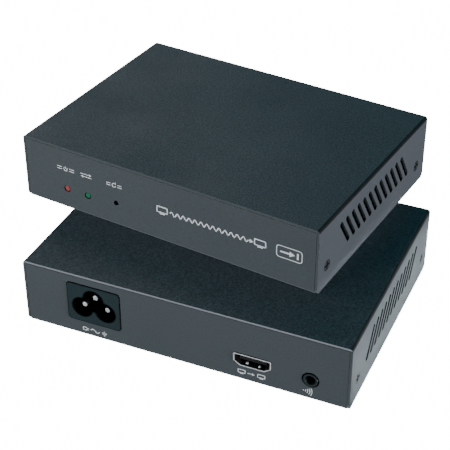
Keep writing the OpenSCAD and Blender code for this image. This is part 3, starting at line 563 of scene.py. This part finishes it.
# The title is a wave that runs from one screen to another. The badge is an arrow to a bar in a frame,
# to the right on the encoder and to the left on the decoder.
title_v = 14.6
title_line = 0.5
title_head = 1.7
title_screens = (67.2, 111.3)
title_screen_w, title_screen_h = 4.8, 3.4
wave_from, wave_to = 70.9, 106.0
wave_rise = 0.85
wave_turns = 13
title_tip = 108.4
front_marks["title_mark"] = (
    screen(title_screens[0], title_v, title_screen_w, title_screen_h, title_line)
    + wave(wave_from, wave_to, title_v, wave_rise, wave_turns, title_line)
    + arrow(wave_to, title_tip, title_v, title_line, title_head)
    + screen(title_screens[1], title_v, title_screen_w, title_screen_h, title_line))
badge_u = 123.8
badge_w, badge_h = 10.8, 5.2
badge_corner = 1.1
badge_line = 0.34
badge_bar_off = 3.6
badge_bar_half = 1.4
badge_bold = 0.75
badge_head = 2.3
badge_shaft_off, badge_tip_off = 3.9, 2.4


def badge(way):
    """The framed arrow and bar, to the right for 1 and to the left for -1."""
    bar_u = badge_u + way * badge_bar_off
    return [frame_line(badge_u, title_v, badge_w, badge_h, badge_corner, badge_line),
            line(bar_u, title_v - badge_bar_half, bar_u, title_v + badge_bar_half, badge_bold),
            *arrow(badge_u - way * badge_shaft_off, badge_u + way * badge_tip_off, title_v, badge_bold,
                   badge_head)]


badge_ways = {"encoder": 1, "decoder": -1}

# Under the sockets: a plug, a wave and an earth sign for the mains, two screens for the video and
# waves that spread from a dot for the infrared.
inlet_v = 3.4
inlet_wave_from, inlet_wave_to = 28.6, 32.4
inlet_wave_rise = 0.7
inlet_wave_line = 0.42
plug_u = 26.0
plug_w, plug_h = 1.6, 1.4
plug_corner = 0.3
prong_from, prong_to = 26.9, 27.7
prong_off = 0.35
fine_line = 0.3
earth_u = 34.6
earth_top = 4.5
earth_bars = ((1.1, 3.6), (0.7, 3.0), (0.3, 2.4))
video_v = 4.2
video_line = 0.32
video_screens = (93.0, 101.0)
video_screen_w, video_screen_h = 2.9, 2.0
video_arrow_from, video_arrow_to = 95.4, 98.4
video_arrow_v = 4.25
infrared_u, infrared_v = 117.9, 3.9
infrared_step = 0.85
infrared_half_angle = 32
dot_half = 0.2
dot_line = 0.4
rear_marks = {
    "inlet_mark": wave(inlet_wave_from, inlet_wave_to, inlet_v, inlet_wave_rise, 1, inlet_wave_line)
                  + [frame_line(plug_u, inlet_v, plug_w, plug_h, plug_corner, link_line),
                     line(earth_u, earth_top, earth_u, earth_bars[0][1], link_line)]
                  + [line(prong_from, inlet_v + off, prong_to, inlet_v + off, fine_line)
                     for off in (prong_off, -prong_off)]
                  + [line(earth_u - half, v, earth_u + half, v, fine_line) for half, v in earth_bars],
    "video_mark": screen(video_screens[0], video_v, video_screen_w, video_screen_h, video_line)
                  + arrow(video_arrow_from, video_arrow_to, video_arrow_v, video_line, link_head)
                  + screen(video_screens[1], video_v, video_screen_w, video_screen_h, video_line),
    "infrared_mark": [stroke(*arc(infrared_u, infrared_v, infrared_step * n, -infrared_half_angle,
                                  infrared_half_angle, count=9), video_line) for n in (1, 2, 3, 4)]
                     + [line(infrared_u - dot_half, infrared_v, infrared_u + dot_half, infrared_v, dot_line)],
}
ink = new_finish("white_ink", (0.88, 0.88, 0.9), grain_size=0.0005, contrast=0.5, roughness=(0.5, 0.65),
                 bump=0.00003)
for unit in units:
    for panel, marks in (("front", {**front_marks, "badge": badge(badge_ways[unit])}), ("rear", rear_marks)):
        for name, strokes in marks.items():
            points = np.vstack([s[0] for s in strokes])
            first = np.cumsum([0] + [len(s[0]) for s in strokes[:-1]])
            faces = np.vstack([s[1] + n for s, n in zip(strokes, first)])
            if panel == "front":
                points = in_set(unit, points[:, 0] - unit_half_w, -points[:, 2], points[:, 1])
            else:
                points = in_set(unit, unit_half_w - points[:, 0], unit_d + points[:, 2], points[:, 1])
            a, b, c, d = (points[faces[:, k]] for k in range(4))
            volume = (np.cross(b - a, c - a) * a).sum() + (np.cross(c - a, d - a) * a).sum()
            mesh = bpy.data.meshes.new(f"{unit}_{name}")
            mesh.from_pydata(points.tolist(), [], (faces if volume > 0 else faces[:, ::-1]).tolist())
            mesh.materials.append(ink)
            mark = bpy.data.objects.new(f"{unit}_{name}", mesh)
            bpy.context.collection.objects.link(mark)
            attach(mark, unit)

# The table and the light. A wide white sheet under the set, seen as plain white. A strip and a box in
# front on the left light the panels, a strip low on the right the sides, and a narrow beam the lower
# side. Weak boxes on the left and behind lift the tops, which stay darker than the panels.
white = (1, 1, 1, 1)
table_half = 3.0
table_mesh = bpy.data.meshes.new("table")
table_mesh.from_pydata([(x * table_half, y * table_half, 0) for x, y in ((-1, -1), (1, -1), (1, 1), (-1, 1))],
                       [], [(0, 1, 2, 3)])
table = bpy.data.objects.new("table", table_mesh)
bpy.context.collection.objects.link(table)
table_glow = 0.08
backdrop_glow = 16.0
table_paint = bpy.data.materials.new("table_white")
table_paint.use_nodes = True
table_tree = table_paint.node_tree
table_tree.nodes.remove(table_tree.nodes["Principled BSDF"])
seen = add_node(table_tree, "LightPath").outputs["Is Camera Ray"]
to_parts = add_node(table_tree, "Emission", {"Color": white, "Strength": table_glow}).outputs[0]
to_camera = add_node(table_tree, "Emission", {"Color": white, "Strength": backdrop_glow}).outputs[0]
either = add_node(table_tree, "MixShader", {0: seen, 1: to_parts, 2: to_camera}).outputs[0]
table_tree.links.new(either, table_tree.nodes["Material Output"].inputs["Surface"])
table_mesh.materials.append(table_paint)


def soft_light(name, place, width, height, power, colour=(1, 1, 1), target=(0, 0, 0.03), spread=180):
    """A lamp of the given width and height in metres, turned from its place towards the target."""
    lamp = bpy.data.lights.new(name, "AREA")
    lamp.shape = "RECTANGLE"
    lamp.size = width
    lamp.size_y = height
    lamp.energy = power
    lamp.color = colour
    lamp.spread = math.radians(spread)
    holder = bpy.data.objects.new(name, lamp)
    holder.location = place
    aim = np.array(target) - np.array(place)
    tilt = math.acos(-aim[2] / np.linalg.norm(aim))
    holder.rotation_euler = (tilt, 0, math.atan2(aim[1], aim[0]) - math.pi / 2)
    bpy.context.collection.objects.link(holder)


soft_light("front_left_strip", place=(-0.7, -1.2, 0.06), width=0.5, height=0.1, power=4.2)
soft_light("front_left_box", place=(-0.7, -1.2, 0.22), width=0.4, height=0.4, power=9.7)
soft_light("right_strip", place=(1.3, -0.25, 0.06), width=0.5, height=0.1, power=24.2,
           colour=(1.0, 0.92, 0.97))
soft_light("low_right_beam", place=(0.35, 0.0, 0.0135), width=0.1, height=0.026, power=0.02,
           target=(unit_half_w, 0.0, 0.0135), spread=4)
soft_light("left_box", place=(-0.45, -0.15, 0.3), width=0.25, height=0.25, power=0.58,
           colour=(1.0, 0.85, 0.85))
soft_light("back_left_box", place=(-0.7, 0.9, 0.9), width=0.6, height=0.6, power=2.6,
           colour=(1.0, 0.85, 0.87))
room_strength = 0.19
room_colour = (0.03, 0.82, 1, 1)
world = bpy.data.worlds.new("white_room")
world.use_nodes = True
bpy.context.scene.world = world
world_tree = world.node_tree
room = world_tree.nodes["Background"]
room.inputs["Color"].default_value = room_colour
room.inputs["Strength"].default_value = room_strength
backdrop = add_node(world_tree, "Background", {"Color": white, "Strength": backdrop_glow}).outputs[0]
seen = add_node(world_tree, "LightPath").outputs["Is Camera Ray"]
either = add_node(world_tree, "MixShader", {0: seen, 1: room.outputs[0], 2: backdrop}).outputs[0]
world_tree.links.new(either, world_tree.nodes["World Output"].inputs["Surface"])
